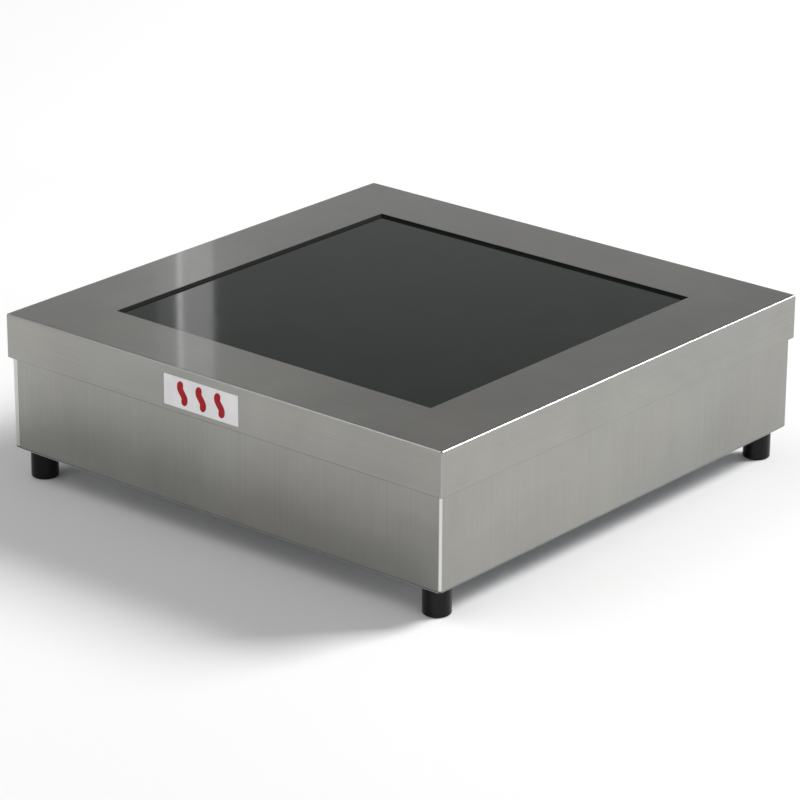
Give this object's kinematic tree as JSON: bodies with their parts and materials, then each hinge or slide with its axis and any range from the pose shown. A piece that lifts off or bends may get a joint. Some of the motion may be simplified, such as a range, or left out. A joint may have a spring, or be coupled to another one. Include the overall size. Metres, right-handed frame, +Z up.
{
  "type": "induction hob",
  "caption": "Square countertop induction hob: stainless casing on short round feet, glass-ceramic plate set into the lid, rotary power control and rocker switch on its left side.",
  "frame": {"origin": "centre of the square footprint, at the plane the feet stand on", "axes": "+Z up out of the cooking surface; -Y is the front, which carries the surface label; -X is the operator side with the knob and switch; +Y is the rear, with the mains gland and the exhaust"},
  "size_m": [0.5216, 0.5175, 0.155],
  "materials": {
    "stainless": "brushed",
    "zinc_steel": "satin",
    "spring_steel": "polished",
    "black_glass": "polished",
    "black_silicone": "matte",
    "foot_plastic": "gloss",
    "label_white": "satin",
    "copper": "satin",
    "ferrite": "matte",
    "mica": "matte",
    "aluminium": "satin",
    "circuit_green": "satin",
    "black_plastic": "matte",
    "knob_black": "satin",
    "rocker_black": "satin",
    "grey_plastic": "matte",
    "white_plastic": "matte",
    "brass": "satin",
    "lamp_green": "gloss",
    "lamp_amber": "gloss",
    "thermistor": "matte",
    "coil_lead_sleeve": "matte",
    "wire_sleeve": "matte"
  },
  "bodies": {
    "hob": {"air_duct": "black_plastic", "base_plate": "zinc_steel", "board_parts": "black_plastic", "board_standoffs": "zinc_steel", "body_wrap": "stainless", "bonding_stud": "brass", "brass_terminals": "brass", "casing_screws": "zinc_steel", "coil_carrier": "black_plastic", "coil_leads": "coil_lead_sleeve", "coil_rails": "zinc_steel", "coil_springs": "spring_steel", "coil_winding": "copper", "control_board": "circuit_green", "control_panel": "stainless", "corner_posts": "zinc_steel", "dial_plate": "black_plastic", "exhaust_grille": "stainless", "fan_housing": "black_plastic", "ferrite_bars": "ferrite", "film_capacitors": "grey_plastic", "flange_nuts": "zinc_steel", "foot_front_left": "foot_plastic", "foot_front_right": "foot_plastic", "foot_rear_left": "foot_plastic", "foot_rear_right": "foot_plastic", "foot_screws": "zinc_steel", "gland_body": "grey_plastic", "gland_nuts": "grey_plastic", "gland_seal": "black_silicone", "glass_plate": "black_glass", "glass_seal": "black_silicone", "glass_support_frame": "zinc_steel", "glass_support_pad": "black_silicone", "grille_rivets": "zinc_steel", "guide_pins": "zinc_steel", "heat_lamp": "lamp_amber", "heatsink": "aluminium", "inner_screws": "zinc_steel", "intake_grille": "stainless", "lid_frame": "stainless", "lid_studs": "zinc_steel", "mains_wiring": "wire_sleeve", "mica_sheet": "mica", "panel_nuts": "zinc_steel", "potentiometer": "black_plastic", "power_board": "circuit_green", "power_lamp": "lamp_green", "power_semiconductors": "black_plastic", "rivet_nuts": "zinc_steel", "shield_plate": "aluminium", "surface_label": "label_white", "switch_housing": "black_plastic", "temperature_sensor": "thermistor", "terminal_block": "white_plastic"},
    "knob": {"control_knob": "knob_black", "knob_pointer": "white_plastic", "knob_shaft": "zinc_steel"},
    "rocker": {"rocker_button": "rocker_black"},
    "impeller": {"fan_impeller": "black_plastic"}
  },
  "joints": [
    {"name": "knob_turn", "type": "hinge", "parent": "hob", "child": "knob", "pos_m": [-0.247, -0.15, 0.07], "axis": [1, 0, 0], "range_deg": [0, 270]},
    {"name": "rocker_tilt", "type": "hinge", "parent": "hob", "child": "rocker", "pos_m": [-0.246, 0.165, 0.07], "axis": [0, 1, 0], "range_deg": [0, 20]},
    {"name": "impeller_spin", "type": "hinge", "parent": "hob", "child": "impeller", "pos_m": [0.06, -0.11, 0.04], "axis": [0, 0, 1], "continuous": true}
  ]
}
